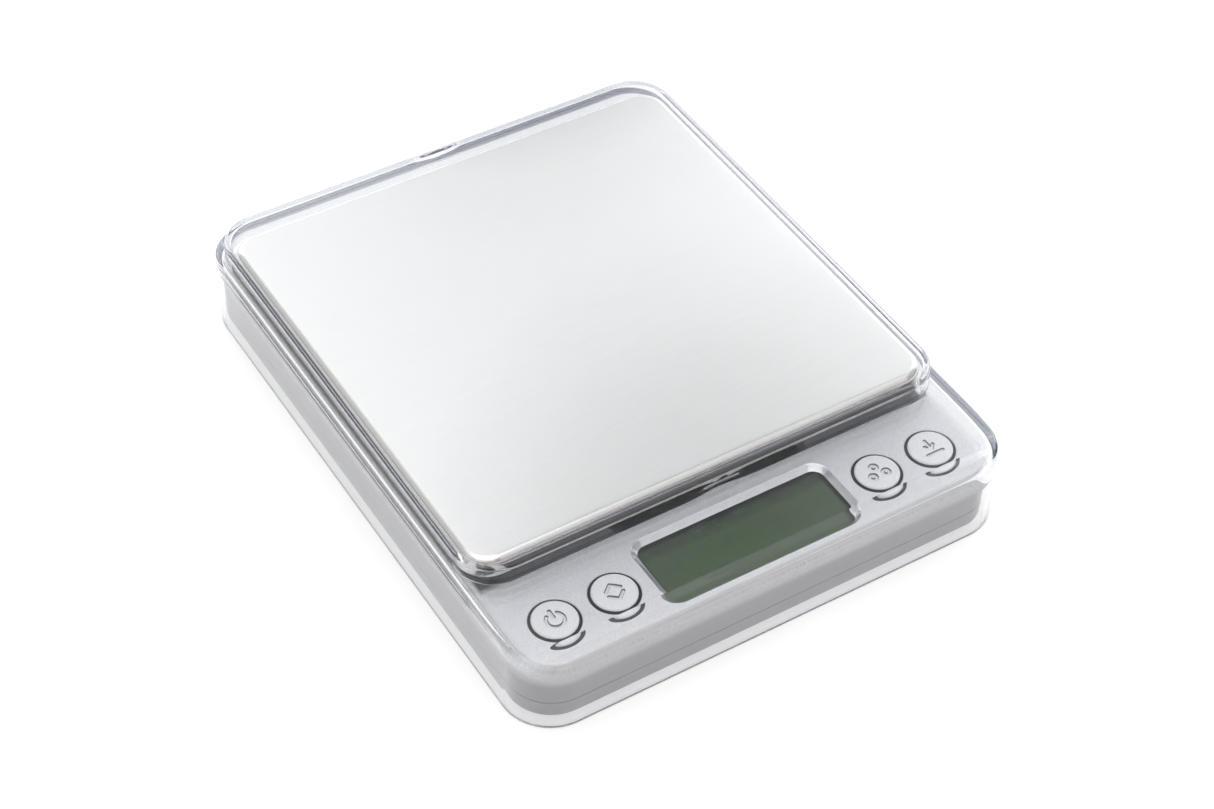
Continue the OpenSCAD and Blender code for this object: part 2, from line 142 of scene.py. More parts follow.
def fillet(w, l, r, z0, e, up=True, out=True, steps=5, yc=0.0, n=10, m=1, start=0.0, end=90.0):
    """Loops of a rounded edge whose wall is the rectangle w by l and whose flat is at z0."""
    loops = []
    for i in range(steps + 1):
        t = math.radians(start + (end - start) * i / steps)
        inset = e * (1 - math.cos(t))
        z = z0 - e + e * math.sin(t) if up else z0 + e - e * math.sin(t)
        s = -1 if out else 1
        loops.append(rr_loop(w + s * 2 * inset, l + s * 2 * inset, max(r + s * inset, 0.05), z, yc, n, m))
    return loops


def boolean(ob, cutter, op="DIFFERENCE"):
    m = ob.modifiers.new("bool", "BOOLEAN")
    m.operation = op
    m.object = cutter
    m.solver = "EXACT"
    bpy.context.view_layer.objects.active = ob
    for o in bpy.context.selected_objects:
        o.select_set(False)
    ob.select_set(True)
    bpy.ops.object.modifier_apply(modifier=m.name)
    bpy.data.objects.remove(cutter)


def temp(name, bm):
    bmesh.ops.recalc_face_normals(bm, faces=bm.faces)
    me = bpy.data.meshes.new(name)
    bm.to_mesh(me)
    bm.free()
    ob = bpy.data.objects.new(name, me)
    bpy.context.scene.collection.objects.link(ob)
    return ob


# ---------------------------------------------------------------- material tools
class Mat:
    def __init__(self, name):
        self.m = bpy.data.materials.new(name)
        self.m.use_nodes = True
        self.nt = self.m.node_tree
        self.nt.nodes.clear()
        self.out = self.nt.nodes.new("ShaderNodeOutputMaterial")
        self.p = self.nt.nodes.new("ShaderNodeBsdfPrincipled")
        self.nt.links.new(self.p.outputs[0], self.out.inputs[0])
        self.tc = self.nt.nodes.new("ShaderNodeTexCoord")

    def set(self, **kw):
        for k, v in kw.items():
            self.p.inputs[k.replace("_", " ")].default_value = v
        return self

    def node(self, kind, **kw):
        n = self.nt.nodes.new("ShaderNode" + kind)
        for k, v in kw.items():
            if hasattr(n, k):
                setattr(n, k, v)
            else:
                n.inputs[k.replace("_", " ")].default_value = v
        return n

    def link(self, a, b):
        self.nt.links.new(a, b)

    def mapped(self, scale=(1, 1, 1), rot=(0, 0, 0)):
        mp = self.node("Mapping")
        mp.inputs["Scale"].default_value = scale
        mp.inputs["Rotation"].default_value = rot
        self.link(self.tc.outputs["Object"], mp.inputs["Vector"])
        return mp.outputs[0]

    def noise(self, scale, detail=4.0, rough=0.55, vec=None, dist=0.0):
        n = self.node("TexNoise")
        n.inputs["Scale"].default_value = scale
        n.inputs["Detail"].default_value = detail
        n.inputs["Roughness"].default_value = rough
        n.inputs["Distortion"].default_value = dist
        self.link(vec if vec is not None else self.tc.outputs["Object"], n.inputs["Vector"])
        return n.outputs["Fac"]

    def ramp(self, fac, stops, interp="LINEAR"):
        r = self.node("ValToRGB")
        r.color_ramp.interpolation = interp
        els = r.color_ramp.elements
        while len(els) < len(stops):
            els.new(0.5)
        for e, (p, c) in zip(els, stops):
            e.position = p
            e.color = c if len(c) == 4 else (*c, 1)
        self.link(fac, r.inputs[0])
        return r.outputs[0]

    def rng(self, fac, a, b, lo=0.0, hi=1.0):
        r = self.node("MapRange")
        r.inputs["From Min"].default_value = lo
        r.inputs["From Max"].default_value = hi
        r.inputs["To Min"].default_value = a
        r.inputs["To Max"].default_value = b
        self.link(fac, r.inputs["Value"])
        return r.outputs[0]

    def math(self, op, a, b=None):
        n = self.node("Math", operation=op)
        for i, v in enumerate((a, b)):
            if v is None:
                continue
            if hasattr(v, "is_linked"):
                self.link(v, n.inputs[i])
            else:
                n.inputs[i].default_value = v
        return n.outputs[0]

    def mix(self, fac, a, b, blend="MIX"):
        n = self.node("Mix")
        n.data_type = "RGBA"
        n.blend_type = blend
        for s, v in ((n.inputs[0], fac), (n.inputs[6], a), (n.inputs[7], b)):
            if hasattr(v, "is_linked"):
                self.link(v, s)
            elif isinstance(v, (int, float)):
                s.default_value = v
            else:
                s.default_value = v if len(v) == 4 else (*v, 1)
        return n.outputs[2]

    def bump(self, height, strength=0.2, distance=0.0001, into=None):
        b = self.node("Bump")
        b.inputs["Strength"].default_value = strength
        b.inputs["Distance"].default_value = distance
        self.link(height, b.inputs["Height"])
        if into is not None:
            self.link(into, b.inputs["Normal"])
        self.link(b.outputs[0], self.p.inputs["Normal"])
        return b.outputs[0]

    def to(self, socket, value):
        self.link(value, self.p.inputs[socket])
        return self


def apply_material(ob, mat):
    ob.data.materials.clear()
    ob.data.materials.append(mat)
    for p in ob.data.polygons:
        p.material_index = 0


def silver_abs():
    """Silver lacquer over ABS: fine aluminium fleck, faint orange peel, slightly cool."""
    a = Mat("silver_lacquer")
    a.set(Metallic=0.22, IOR=1.5, Coat_Weight=0.25, Coat_Roughness=0.2, Specular_IOR_Level=0.5)
    fleck = a.noise(5200, 2, 0.6)
    cloud = a.noise(60, 3, 0.5)
    col = a.ramp(fleck, [(0.25, (0.64, 0.64, 0.658)), (0.5, (0.80, 0.80, 0.82)), (0.78, (0.96, 0.96, 0.975))])
    col = a.mix(a.rng(cloud, 0.0, 0.12), col, (0.72, 0.72, 0.74))
    # painted shade: the recess under the platform is darkened almost to black, where the platform shades it
    sep = a.node("SeparateXYZ")
    a.link(a.tc.outputs["Object"], sep.inputs[0])
    under = a.math("MULTIPLY", a.rng(a.math("ABSOLUTE", sep.outputs[0]), 1.0, 0.0, 50.6 * MM, 51.4 * MM),
                   a.rng(sep.outputs[1], 0.0, 1.0, -42.6 * MM, -41.2 * MM))
    under = a.math("MULTIPLY", under, a.rng(sep.outputs[2], 0.0, 1.0, 12.9 * MM, 13.1 * MM))
    # painted shade: the walls are darkened toward the bottom, from the panel top at 12.8 mm down to 9.5 mm
    wall = a.rng(sep.outputs[2], 1.0, 0.0, 9.5 * MM, 12.8 * MM)
    col = a.mix(a.math("MULTIPLY", wall, 0.78), col, (0.20, 0.20, 0.212))
    col = a.mix(a.math("MULTIPLY", under, 0.92), col, (0.012, 0.012, 0.014))
    a.to("Base Color", col)
    a.to("Roughness", a.rng(fleck, 0.33, 0.45))
    peel = a.noise(900, 3, 0.5)
    b = a.bump(fleck, 0.35, 0.00002)
    a.bump(peel, 0.06, 0.00005, b)
    return a.m


def bezel_silver():
    """The same lacquer over the polished chamfer round the window."""
    a = Mat("bezel_lacquer")
    a.set(Metallic=0.85, IOR=1.5, Coat_Weight=0.4, Coat_Roughness=0.06)
    fleck = a.noise(5200, 2, 0.6)
    a.to("Base Color", a.ramp(fleck, [(0.3, (0.66, 0.66, 0.68)), (0.7, (0.80, 0.80, 0.82))]))
    a.to("Roughness", a.rng(fleck, 0.13, 0.2))
    a.bump(a.noise(700, 3, 0.5), 0.05, 0.00004)
    return a.m


def key_silver():
    a = Mat("key_lacquer")
    a.set(Metallic=0.1, IOR=1.5, Coat_Weight=0.3, Coat_Roughness=0.25)
    fleck = a.noise(6000, 2, 0.6)
    a.to("Base Color", a.ramp(fleck, [(0.25, (0.74, 0.74, 0.745)), (0.5, (0.93, 0.93, 0.935)), (0.8, (0.98, 0.98, 0.985))]))
    a.to("Roughness", a.rng(fleck, 0.36, 0.5))
    a.bump(a.noise(3200, 3, 0.6), 0.3, 0.00003)
    return a.m


def stainless():
    """Satin stainless sheet: very fine brushing along X, faint clouding, polished roll."""
    a = Mat("satin_stainless")
    a.set(Metallic=1.0)
    brush = a.noise(1.0, 3, 0.6, vec=a.mapped((140, 9000, 9000)))
    cloud = a.noise(26, 3, 0.5)
    col = a.ramp(brush, [(0.3, (0.77, 0.765, 0.752)), (0.7, (0.84, 0.833, 0.82))])
    col = a.mix(a.rng(cloud, 0.0, 0.25), col, (0.78, 0.765, 0.745))
    a.to("Base Color", col)
    flat = a.node("SeparateXYZ")
    a.link(a.tc.outputs["Normal"], flat.inputs[0])
    # the flat top is satin and the rolled edge is polished by the press
    top = a.rng(flat.outputs[2], 0.0, 1.0, 0.93, 0.995)
    rough = a.math("ADD", a.math("MULTIPLY", top, 0.17), a.rng(brush, 0.10, 0.15))
    a.to("Roughness", rough)
    a.bump(brush, 0.05, 0.00001)
    return a.m


def clear_plastic(name="clear_styrene", tint=(0.985, 0.99, 0.995), ior=1.57, rough=0.0):
    """Clear styrene with a little surface scuff. Lamps shine through it."""
    a = Mat(name)
    a.set(IOR=ior, Transmission_Weight=1.0, Roughness=rough)
    a.p.inputs["Base Color"].default_value = (*tint, 1)
    if rough == 0.0:
        scuff = a.noise(38, 5, 0.7)
        a.to("Roughness", a.rng(scuff, 0.0, 0.03, 0.55, 0.85))
    else:
        scuff = a.noise(420, 4, 0.65)
        a.to("Roughness", a.rng(scuff, rough * 0.6, rough * 1.5, 0.3, 0.75))
        a.to("Base Color", a.ramp(scuff, [(0.3, tuple(c * 0.93 for c in tint)), (0.7, tint)]))
        a.bump(scuff, 0.04, 0.00001)
    lp = a.node("LightPath")
    tr = a.node("BsdfTransparent")
    tr.inputs[0].default_value = (*[c * 0.97 for c in tint], 1)
    mx = a.node("MixShader")
    a.link(lp.outputs["Is Shadow Ray"], mx.inputs[0])
    a.link(a.p.outputs[0], mx.inputs[1])
    a.link(tr.outputs[0], mx.inputs[2])
    a.link(mx.outputs[0], a.out.inputs[0])
    # light that runs along a wall comes out greyer than light that crosses it
    vol = a.node("VolumeAbsorption")
    vol.inputs["Color"].default_value = (0.55, 0.58, 0.64, 1)
    vol.inputs["Density"].default_value = 90.0
    a.link(vol.outputs[0], a.out.inputs["Volume"])
    return a.m


def moulded(name, col, rough=(0.42, 0.6), spec=0.5, grain=2200, bump=0.15, var=0.12):
    a = Mat(name)
    a.set(Specular_IOR_Level=spec)
    n = a.noise(grain, 3, 0.6)
    c2 = tuple(max(0, c * (1 - var)) for c in col)
    c3 = tuple(min(1, c * (1 + var) + 0.004) for c in col)
    a.to("Base Color", a.ramp(n, [(0.3, c2), (0.7, c3)]))
    a.to("Roughness", a.rng(a.noise(180, 3), *rough, 0.3, 0.7))
    a.bump(n, bump, 0.00004)
    return a.m


def metal(name, col, rough=(0.18, 0.34), stretch=(60, 4000, 4000), bump=0.08):
    a = Mat(name)
    a.set(Metallic=1.0)
    n = a.noise(1.0, 3, 0.6, vec=a.mapped(stretch))
    a.to("Base Color", a.ramp(n, [(0.3, tuple(c * 0.92 for c in col)), (0.7, tuple(min(1, c * 1.05) for c in col))]))
    a.to("Roughness", a.rng(n, *rough, 0.3, 0.7))
    a.bump(n, bump, 0.00002)
    return a.m


def lcd_face():
    """Switched-off reflective display: grey-green film, darker at its borders where the polariser ends, with a painted
    bezel shadow along its back edge.
    """
    a = Mat("lcd_face")
    a.set(IOR=1.5, Coat_Weight=0.15, Coat_Roughness=0.08, Specular_IOR_Level=0.15)
    film = a.noise(5000, 2, 0.5)
    cloud = a.noise(90, 3, 0.5)
    col = a.ramp(film, [(0.3, (0.104, 0.166, 0.082)), (0.7, (0.124, 0.194, 0.096))])
    sep = a.node("SeparateXYZ")
    a.link(a.tc.outputs["Object"], sep.inputs[0])
    # painted shadow of the bezel: a violet-dark cast along the back edge
    back = a.rng(sep.outputs[1], 0.0, 1.0, (-LCD_B - 3.6) * MM, (-LCD_B + 0.2) * MM)
    col = a.mix(back, col, (0.035, 0.033, 0.045))
    # dark line where the glass is glued in, all the way round
    side = a.rng(a.math("ABSOLUTE", sep.outputs[0]), 0.0, 1.0, (LCD_W / 2 - 0.75) * MM, (LCD_W / 2 - 0.1) * MM)
    ends = a.math("MAXIMUM", a.rng(sep.outputs[1], 0.0, 1.0, (-LCD_B - 0.7) * MM, (-LCD_B - 0.1) * MM),
                  a.rng(sep.outputs[1], 1.0, 0.0, (-LCD_F + 0.1) * MM, (-LCD_F + 0.55) * MM))
    col = a.mix(a.math("MAXIMUM", side, ends), col, (0.012, 0.013, 0.016))
    col = a.mix(a.rng(cloud, 0.0, 0.18), col, (0.110, 0.174, 0.088))
    a.to("Base Color", col)
    a.to("Roughness", a.rng(film, 0.28, 0.4))
    a.bump(film, 0.03, 0.00001)
    return a.m


def floor_material():
    a = Mat("studio_floor")
    a.set(Roughness=0.9, Specular_IOR_Level=0.1)
    n = a.noise(14, 3, 0.5)
    a.to("Base Color", a.ramp(n, [(0.3, (0.62, 0.62, 0.62)), (0.7, (0.64, 0.64, 0.64))]))
    # a softly lit table
    a.set(Emission_Color=(1, 1, 1, 1), Emission_Strength=0.50)
    return a.m


M_SILVER = silver_abs()
M_BEZEL = bezel_silver()
M_KEY = key_silver()
M_STEEL = stainless()
M_CLEAR = clear_plastic()
M_WINDOW = clear_plastic("acrylic_window", (0.96, 0.97, 0.96), 1.42, 0.02)
M_LCD = lcd_face()
# painted shade: dark grey clear material for the foot where the table under it is shaded
M_FOOT = clear_plastic("foot_painted_shade", (0.16, 0.16, 0.17), 1.57, 0.35)
M_WHITE = moulded("white_moulding", (0.78, 0.78, 0.76))
M_BLACK = moulded("black_nylon", (0.02, 0.02, 0.022), (0.35, 0.5))
# painted shade: near-black and dark grey materials put on gap, recess and groove walls where shade falls
M_SHADE = moulded("painted_gap_shade", (0.045, 0.047, 0.06), (0.5, 0.65))
M_STROKE = moulded("engraved_wall_painted_shade", (0.16, 0.16, 0.17), (0.5, 0.65))
M_DARK = moulded("black_abs", (0.03, 0.03, 0.033), (0.5, 0.65))
M_FOAM = moulded("foam_tape", (0.8, 0.79, 0.74), (0.8, 0.95), 0.2, 3500, 0.5)
M_RUBBER = moulded("foot_rubber", (0.025, 0.025, 0.026), (0.7, 0.85), 0.3, 1500, 0.3)
M_EPOXY = moulded("epoxy", (0.012, 0.012, 0.013), (0.15, 0.3), 0.5, 400, 0.1)
M_RED = moulded("red_insulation", (0.42, 0.025, 0.02), (0.3, 0.45))
M_ELAST = moulded("elastomer", (0.6, 0.3, 0.34), (0.6, 0.8), 0.3)
M_JACKET = moulded("cell_sleeve", (0.035, 0.05, 0.075), (0.22, 0.35), 0.5, 300, 0.05)
M_SCREW = metal("screw_nickel", (0.62, 0.61, 0.6))
M_ALU = metal("milled_aluminium", (0.78, 0.78, 0.79), (0.25, 0.4), (50, 2500, 2500))
M_NICKEL = metal("spring_nickel", (0.68, 0.66, 0.62))


def green_board():
    a = Mat("solder_mask")
    a.set(Coat_Weight=0.5, Coat_Roughness=0.12)
    br = a.node("TexBrick")
    a.link(a.tc.outputs["Object"], br.inputs["Vector"])
    br.inputs["Scale"].default_value = 130
    br.inputs["Color1"].default_value = (0.012, 0.10, 0.03, 1)
    br.inputs["Color2"].default_value = (0.015, 0.12, 0.04, 1)
    br.inputs["Mortar"].default_value = (0.03, 0.19, 0.07, 1)
    br.inputs["Mortar Size"].default_value = 0.06
    a.to("Base Color", a.mix(a.rng(a.noise(1500, 2), 0, 0.3), br.outputs["Color"], (0.01, 0.07, 0.02)))
    a.to("Roughness", a.rng(a.noise(900, 2), 0.25, 0.4))
    a.bump(br.outputs["Fac"], 0.2, 0.00003)
    return a.m


def gauge_foil():
    a = Mat("gauge_foil")
    a.set(Coat_Weight=0.4, Coat_Roughness=0.1)
    w = a.node("TexWave")
    w.inputs["Scale"].default_value = 900
    a.link(a.tc.outputs["Object"], w.inputs["Vector"])
    a.to("Base Color", a.ramp(w.outputs["Fac"], [(0.4, (0.42, 0.21, 0.04)), (0.6, (0.62, 0.42, 0.18))]))
    a.to("Roughness", a.rng(w.outputs["Fac"], 0.25, 0.4))
    a.bump(w.outputs["Fac"], 0.2, 0.00002)
    return a.m


M_BOARD = green_board()
M_GAUGE = gauge_foil()

# ---------------------------------------------------------------- clear cover
MARGIN = [(0.0, 16.8), (0.25, 16.70), (0.5, 16.59), (0.8, 16.455), (1.15, 16.30), (1.6, 16.11), (2.2, 15.875),
          (3.0, 15.59), (3.9, 15.30), (4.3, 15.175)]      # distance in front of the crease, height


def shelf_top(x, y):
    """Top of the lower step: flat, then a hollow slope in front of the crease."""
    d = -BEVEL_Y - y
    if d <= 0:
        return SHELF
    for (d0, z0), (d1, z1) in zip(MARGIN, MARGIN[1:]):
        if d <= d1:
            return z0 + (z1 - z0) * (d - d0) / (d1 - d0)
    return MARGIN[-1][1] - 0.31 * (d - MARGIN[-1][0])


def notched(loop, y0, depth, half=7.3, side=-1):
    """Moves the middle of one long side of a loop inwards, as a shallow arc."""
    out = []
    for x, y, z in loop:
        if abs(x) < half and abs(y - y0) < 1.6:
            y += -side * depth * math.cos(math.pi * x / (2 * half)) ** 2
        out.append((x, y, z))
    return out


def front_share(y):
    """0 along the sides and back of the rim, rising to 1 round the front corners."""
    k = max(0.0, min(1.0, (-y - 50.0) / 12.0))
    return k * k * (3 - 2 * k)


def build_cover():
    N, MS = 24, 60
    bm = bmesh.new()
    loops = []
    # foot of the rim, a small radius
    for i in range(4):
        t = math.radians(90 * i / 3)
        q = 0.25
        d = q * (1 - math.sin(t))
        loops.append(rr_loop(COVER_W - 2 * d, COVER_L - 2 * d, COVER_R - d, q - q * math.cos(t), n=N, m=MS))
    loops.append(rr_loop(COVER_W, COVER_L, COVER_R, 3.0, n=N, m=MS))
    # outer top edge of the rim: small along the sides, deeper under the sloping margin at the front
    steps = 14
    base = rr_loop(COVER_W, COVER_L, COVER_R, 0, n=N, m=MS)
    near = rr_loop(COVER_W - 0.02, COVER_L - 0.02, COVER_R - 0.01, 0, n=N, m=MS)
    for i in range(steps + 1):
        lp = []
        for (x, y, _), (nx, ny, _) in zip(base, near):
            k = front_share(y)
            ea, eb, tilt = 0.7 + 0.7 * k, 0.7 + 1.7 * k, math.radians(16.2 * k)
            top = math.atan2(eb, ea * math.tan(tilt)) if tilt else math.pi / 2
            t = top * i / steps
            ux, uy = (nx - x) / 0.01, (ny - y) / 0.01
            d, dt = ea * (1 - math.cos(t)), ea * (1 - math.cos(top))
            lp.append((x + ux * d, y + uy * d, shelf_top(x + ux * dt, y + uy * dt) - eb * (math.sin(top) - math.sin(t))))
        loops.append(lp)
    # rows down the hollow slope, closing on the crease, then the foot of the block
    back = 64.55
    for d in (4.0, 3.5, 3.0, 2.6, 2.2, 1.9, 1.6, 1.35, 1.15, 0.95, 0.8, 0.65, 0.5, 0.37, 0.25, 0.12, 0.0):
        front = BEVEL_Y + d
        q = d / 4.3
        loops.append(rr_loop(103.88 + 0.08 * q, back + 0.02 * q + front, 8.85, shelf_top, (back + 0.02 * q - front) / 2, N, MS))
    f = 0.25
    for i in range(9):
        t = math.radians(90 * i / 8)
        d = f * (1 - math.sin(t))
        lp = rr_loop(BLOCK_W + 2 * d, BLOCK_L + 2 * d, BLOCK_R + d, SHELF + f * (1 - math.cos(t)), BLOCK_YC, N, MS)
        lp = notched(lp, -BLOCK_F - d, 0.55)
        lp = notched(lp, BLOCK_B + d, 0.4, side=1)
        loops.append(lp)
    for z, k in ((SHELF + 0.9, 0.55), (SHELF + 1.4, 0.42), (SHELF + 1.9, 0.14), (SHELF + 2.4, 0.0)):
        lp = rr_loop(BLOCK_W, BLOCK_L, BLOCK_R, z, BLOCK_YC, N, MS)
        lp = notched(lp, -BLOCK_F, k)
        lp = notched(lp, BLOCK_B, k * 0.7, side=1)
        loops.append(lp)
    loops += fillet(BLOCK_W, BLOCK_L, BLOCK_R, COVER_H, 0.8, True, True, 10, BLOCK_YC, N, MS)
    loops.append(rr_loop(BLOCK_W - 6, BLOCK_L - 6, BLOCK_R - 3, COVER_H, BLOCK_YC, N, MS))
    outer = len(loops)
    # inside: roof of the block, its wall, underside of the step, wall of the rim
    inner = []
    iw, il, ir = BLOCK_W - 2 * WALL, BLOCK_L - 2 * WALL, BLOCK_R - WALL
    inner.append(rr_loop(iw - 6, il - 6, ir - 3, COVER_H - WALL, BLOCK_YC, N, MS))
    for lp in reversed(fillet(iw, il, ir, COVER_H - WALL, 0.4, True, True, 8, BLOCK_YC, N, MS)):
        inner.append(lp)
    uz = SHELF - SHELF_T
    inner.append(rr_loop(iw, il, ir, uz + 2.0, BLOCK_YC, N, MS))
    for i in range(9):
        t = math.radians(90 * i / 8)
        d = 0.35 * (1 - math.cos(t))
        inner.append(rr_loop(iw + 2 * d, il + 2 * d, ir + d, uz + 0.35 - 0.35 * math.sin(t), BLOCK_YC, N, MS))
    rw, rl, rr = COVER_W - 2 * WALL, COVER_L - 2 * WALL, COVER_R - WALL
    # rounded corner inside the rim, longer at the front
    base = rr_loop(rw, rl, rr, 0, n=N, m=MS)
    near = rr_loop(rw - 0.02, rl - 0.02, rr - 0.01, 0, n=N, m=MS)
    for i in range(15):
        t = math.radians(90 * (14 - i) / 14)
        lp = []
        for (x, y, _), (nx, ny, _) in zip(base, near):
            k = front_share(y)
            ea, eb = 1.1 + 0.5 * k, 1.4 + 2.0 * k
            d = ea * (1 - math.cos(t))
            lp.append((x + (nx - x) / 0.01 * d, y + (ny - y) / 0.01 * d, uz - eb + eb * math.sin(t)))
        inner.append(lp)
    for i in range(4):
        t = math.radians(90 * i / 3)
        d = 0.25 * (1 - math.cos(t))
        inner.append(rr_loop(rw + 2 * d, rl + 2 * d, rr + d, 0.25 * (1 - math.sin(t)), n=N, m=MS))
    rings_o = loft(bm, loops, cap_last=True)
    rings_i = loft(bm, inner)
    bm.faces.new(rings_i[0])
    a, b = rings_i[-1], rings_o[0]
    n = len(a)
    for i in range(n):
        j = (i + 1) % n
        bm.faces.new((a[i], a[j], b[j], b[i]))
    ob = new_object("clear_cover_shell", bm, "cover", ("clear_cover",), 13)
    weighted(ob)
    apply_material(ob, M_CLEAR)
    # painted shade: the bottom faces of the foot on the left and front get a scuffed, dark grey clear material, where
    # the table under them lies in shade
    ob.data.materials.append(M_FOOT)
    for p in ob.data.polygons:
        c = p.center / MM
        if c.z < 0.12 and (c.x < -50 or c.y < -62):
            p.material_index = 1
    return ob


cover = build_cover()

# ---------------------------------------------------------------- case
def solid_top(w, l, r, z0, z1, e, steps=8, yc=0.0, n=12):
    bm = bmesh.new()
    loops = [rr_loop(w, l, r, z0, yc, n)] + fillet(w, l, r, z1, e, True, True, steps, yc, n)
    loft(bm, loops, True, True)
    return bm


def drilled(r_top, r_hole, z0, z1, chamfer, seg=96):
    """Cutter for a round hole with a rounded lip at z1."""
    bm = bmesh.new()
    prof = [(0, z0), (r_hole, z0), (r_hole, z1 - chamfer)]
    for i in range(1, 6):
        t = math.radians(90 * i / 5)
        prof.append((r_hole + chamfer * (1 - math.cos(t)), z1 - chamfer + chamfer * math.sin(t)))
    prof += [(r_hole + chamfer, z1 + 2), (0, z1 + 2)]
    rings = []
    for rr, z in prof[1:-1]:
        rings.append([bm.verts.new((rr * math.cos(2 * math.pi * k / seg), rr * math.sin(2 * math.pi * k / seg), z)) for k in range(seg)])
    for a, b in zip(rings, rings[1:]):
        for k in range(seg):
            bm.faces.new((a[k], a[(k + 1) % seg], b[(k + 1) % seg], b[k]))
    bm.faces.new(list(reversed(rings[0])))
    bm.faces.new(rings[-1])
    return bm


def build_upper():
    ob = temp("upper_shell", solid_top(CASE_W, CASE_L, CASE_R, SEAM + 0.1, PANEL, 3.0, 10))
    # plinth under the platform
    bm = bmesh.new()
    loft(bm, [rr_loop(92, 92, 3, PANEL - 1.0, PLAT_Y)] + fillet(92, 92, 3, 15.6, 0.8, True, True, 4, PLAT_Y), True, True)
    boolean(ob, temp("plinth", bm), "UNION")
    # hollow
    bm = bmesh.new()
    loft(bm, [rr_loop(CASE_W - 3.2, CASE_L - 3.2, CASE_R - 1.6, SEAM - 1)] +
         fillet(CASE_W - 3.2, CASE_L - 3.2, CASE_R - 1.6, PANEL - 1.6, 1.6, True, True, 5), True, True)
    boolean(ob, temp("hollow", bm))
    bm = bmesh.new()
    loft(bm, [rr_loop(89, 89, 2, PANEL - 3, PLAT_Y), rr_loop(89, 89, 2, 14.2, PLAT_Y)], True, True)
    boolean(ob, temp("hollow2", bm))
    # window: opening with a chamfered frame
    hh = LCD_F - LCD_B
    bm = bmesh.new()
    lp = [rr_loop(LCD_W, hh, 2.4, PANEL - 3, LCD_YC), rr_loop(LCD_W, hh, 2.4, 12.25, LCD_YC)]
    for k in range(1, 7):
        t = k / 6
        lp.append(rr_loop(LCD_W + 2 * 1.15 * t, hh + 2 * 1.15 * t, 2.4 + 1.15 * t, 12.25 + 0.85 * t ** 1.15, LCD_YC))
    lp.append(rr_loop(LCD_W + 2.7, hh + 2.7, 3.75, PANEL + 0.0, LCD_YC))
    lp.append(rr_loop(LCD_W + 2.7, hh + 2.7, 3.75, PANEL + 2, LCD_YC))
    loft(bm, lp, True, True)
    boolean(ob, temp("window", bm))
    bm = bmesh.new()
    loft(bm, [rr_loop(LCD_W + 4.4, hh + 4.4, 2, PANEL - 3, LCD_YC), rr_loop(LCD_W + 4.4, hh + 4.4, 2, 12.2, LCD_YC)], True, True)
    boolean(ob, temp("lens_seat", bm))
    for x in KEYS.values():
        bm = drilled(0, 4.85, PANEL - 3, PANEL + 0.001, 0.3)
        bmesh.ops.translate(bm, vec=(x, -KEY_Y, 0), verts=bm.verts)
        boolean(ob, temp("hole", bm))
    bm = bmesh.new()
    loft(bm, [rr_loop(14, 14, 0.5, 13, PLAT_Y), rr_loop(14, 14, 0.5, 17, PLAT_Y)], True, True)
    bmesh.ops.translate(bm, vec=(17.5, 0, 0), verts=bm.verts)
    boolean(ob, temp("passage", bm))
    me = ob.data
    bm = bmesh.new()
    bm.from_mesh(me)
    bpy.data.objects.remove(ob)
    bmesh.ops.remove_doubles(bm, verts=bm.verts, dist=0.002)
    ob = new_object("upper_case_shell", bm, "case", ("upper_case",), 35, recalc=False)
    weighted(ob)
    apply_material(ob, M_SILVER)
    # painted shade: the walls of the key holes and of the window, and the recess under the platform, get a near-black
    # material where shade falls
    ob.data.materials.append(M_SHADE)
    ob.data.materials.append(M_BEZEL)
    fx, fy = LCD_W / 2, (LCD_F - LCD_B) / 2
    for p in ob.data.polygons:
        c = p.center / MM
        if 12.22 < c.z < 13.19 and abs(c.x) < fx + 1.5 and abs(c.y - LCD_YC) < fy + 1.5 and 0.2 < p.normal.z < 0.98:
            p.material_index = 2
            continue
        if c.z < 13.0 and abs(c.x) < fx + 1.0 and abs(c.y - LCD_YC) < fy + 1.0 and abs(p.normal.z) < 0.2:
            p.material_index = 1
            continue
        near = min(math.hypot(c.x - x, c.y + KEY_Y) for x in KEYS.values())
        if (near < 4.95 and c.z < 12.95) or (c.z > 13.25 and abs(c.x) < 46.4 and abs(c.y - PLAT_Y) < 46.4):
            p.material_index = 1
    return ob


upper = build_upper()


def build_platform():
    bm = bmesh.new()
    t, e, n = 0.6, 1.6, 12
    w, r, zb = PLAT_W, 5.6, PLAT_Z - 3.2
    out = [rr_loop(w - 0.3, w - 0.3, r - 0.15, zb, PLAT_Y, n), rr_loop(w, w, r, zb + 0.15, PLAT_Y, n)]
    out += fillet(w, w, r, PLAT_Z, e, True, True, 12, PLAT_Y, n)
    out.append(rr_loop(w - 8, w - 8, r - 3, PLAT_Z, PLAT_Y, n))
    iw = w - 2 * t
    inn = [rr_loop(iw - 8, iw - 8, r - 3, PLAT_Z - t, PLAT_Y, n)]
    inn += list(reversed(fillet(iw, iw, r - t, PLAT_Z - t, e - t, True, True, 6, PLAT_Y, n)))
    inn += [rr_loop(iw, iw, r - t, zb + 0.15, PLAT_Y, n), rr_loop(iw + 0.3, iw + 0.3, r - t + 0.15, zb, PLAT_Y, n)]
    ro = loft(bm, out, cap_last=True)
    ri = loft(bm, inn)
    bm.faces.new(ri[0])
    a, b = ri[-1], ro[0]
    for i in range(len(a)):
        j = (i + 1) % len(a)
        bm.faces.new((a[i], a[j], b[j], b[i]))
    ob = new_object("platform_pan", bm, "weigh_deck", ("platform",), 50)
    weighted(ob)
    apply_material(ob, M_STEEL)
    return ob


platform = build_platform()


# ---------------------------------------------------------------- keys
def seg_dist(px, py, ax, ay, bx, by):
    vx, vy = bx - ax, by - ay
    t = max(0.0, min(1.0, ((px - ax) * vx + (py - ay) * vy) / (vx * vx + vy * vy)))
    return math.hypot(px - ax - t * vx, py - ay - t * vy)


